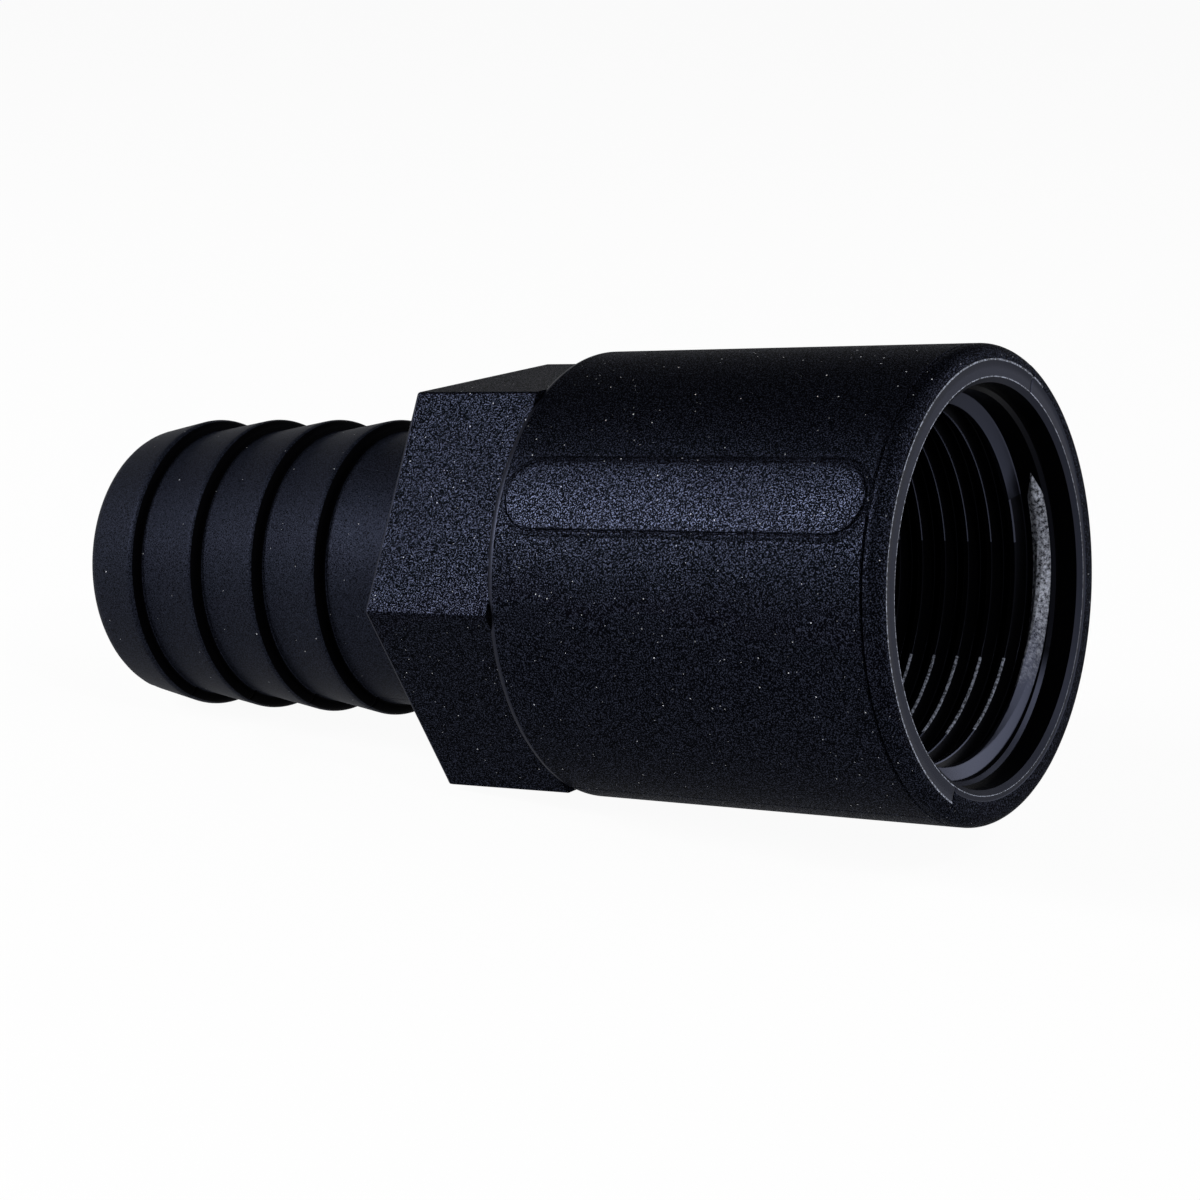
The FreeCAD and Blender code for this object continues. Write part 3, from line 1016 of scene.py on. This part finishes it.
def background_rays(tree):
    """1 for a ray from the camera, a reflected one and one that has passed through a clear piece, or 0."""
    path = add_node(tree, "ShaderNodeLightPath")
    seen = add_node(tree, "ShaderNodeMath", {"operation": "MAXIMUM"}, {
        0: path.outputs["Is Camera Ray"], 1: path.outputs["Is Glossy Ray"]})
    return add_node(tree, "ShaderNodeMath", {"operation": "MAXIMUM"}, {
        0: seen.outputs[0], 1: path.outputs["Is Transmission Ray"]}).outputs[0]


def pale_floor():
    """Matt white paper, seen nearly white with the part's shadow on it."""
    material = new_material("white_paper_floor")
    tree = material.node_tree
    paper = add_node(tree, "ShaderNodeBsdfDiffuse", {}, {"Color": linear("#e8e8e8")})
    white = add_node(tree, "ShaderNodeEmission", {}, {"Color": linear("#ffffff"), "Strength": 1.0})
    share = add_node(tree, "ShaderNodeMath", {"operation": "MULTIPLY"}, {0: background_rays(tree), 1: 0.95})
    mix = add_node(tree, "ShaderNodeMixShader", {}, {
        0: share.outputs[0], 1: paper.outputs[0], 2: white.outputs[0]})
    add_node(tree, "ShaderNodeOutputMaterial", {}, {"Surface": mix.outputs[0]})
    return material


def studio_world(scene):
    """White walls behind the part and in its reflections, up to about 25 degrees above the floor, under a
    dim grey ceiling. What lights the part from there is a dim grey room."""
    world = bpy.data.worlds.new("studio")
    world.use_nodes = True
    tree = world.node_tree
    tree.nodes.clear()
    direction = add_node(tree, "ShaderNodeTexCoord").outputs["Generated"]
    rise = add_node(tree, "ShaderNodeSeparateXYZ", {}, {"Vector": direction})
    walls = add_node(tree, "ShaderNodeMapRange", {"interpolation_type": "SMOOTHSTEP"}, {
        "Value": rise.outputs["Z"], "From Min": 0.3, "From Max": 0.5, "To Min": 1.0, "To Max": 0.0})
    share = add_node(tree, "ShaderNodeMath", {"operation": "MULTIPLY"}, {
        0: background_rays(tree), 1: walls.outputs["Result"]})
    room = add_node(tree, "ShaderNodeBackground", {}, {"Color": linear("#ffffff"), "Strength": 0.08})
    white = add_node(tree, "ShaderNodeBackground", {}, {"Color": linear("#ffffff"), "Strength": 1.0})
    mix = add_node(tree, "ShaderNodeMixShader", {}, {
        0: share.outputs[0], 1: room.outputs[0], 2: white.outputs[0]})
    add_node(tree, "ShaderNodeOutputWorld", {}, {"Surface": mix.outputs[0]})
    scene.world = world


OPERATORS = (
    ADAPTER_OT_hose_tail,
    ADAPTER_OT_hexagon,
    ADAPTER_OT_socket,
    ADAPTER_OT_pad,
    ADAPTER_OT_thread,
    ADAPTER_OT_stage,
)


class ADAPTER_PT_panel(bpy.types.Panel):
    """Lists the sizes and the pieces"""
    bl_idname = "ADAPTER_PT_panel"
    bl_label = "Hose barb adapter"
    bl_space_type = "VIEW_3D"
    bl_region_type = "UI"
    bl_category = "Adapter"

    def draw(self, context):
        layout = self.layout
        for operator in OPERATORS:
            layout.operator(operator.bl_idname)
        for attribute in SETTINGS:
            group = getattr(context.scene, attribute)
            box = layout.box()
            box.label(text=type(group).__doc__)
            for name in type(group).__annotations__:
                box.prop(group, name)


def register():
    for group in SETTINGS.values():
        bpy.utils.register_class(group)
    for operator in OPERATORS:
        bpy.utils.register_class(operator)
    bpy.utils.register_class(ADAPTER_PT_panel)
    for attribute, group in SETTINGS.items():
        setattr(bpy.types.Scene, attribute, PointerProperty(type=group))


def unregister():
    for attribute in SETTINGS:
        delattr(bpy.types.Scene, attribute)
    bpy.utils.unregister_class(ADAPTER_PT_panel)
    for operator in reversed(OPERATORS):
        bpy.utils.unregister_class(operator)
    for group in reversed(SETTINGS.values()):
        bpy.utils.unregister_class(group)


def main():
    """Makes every piece and the stage."""
    register()
    bpy.ops.adapter.hose_tail()
    bpy.ops.adapter.hexagon()
    bpy.ops.adapter.socket()
    bpy.ops.adapter.pad()
    bpy.ops.adapter.thread()
    bpy.ops.adapter.stage()


if __name__ == "__main__":
    main()
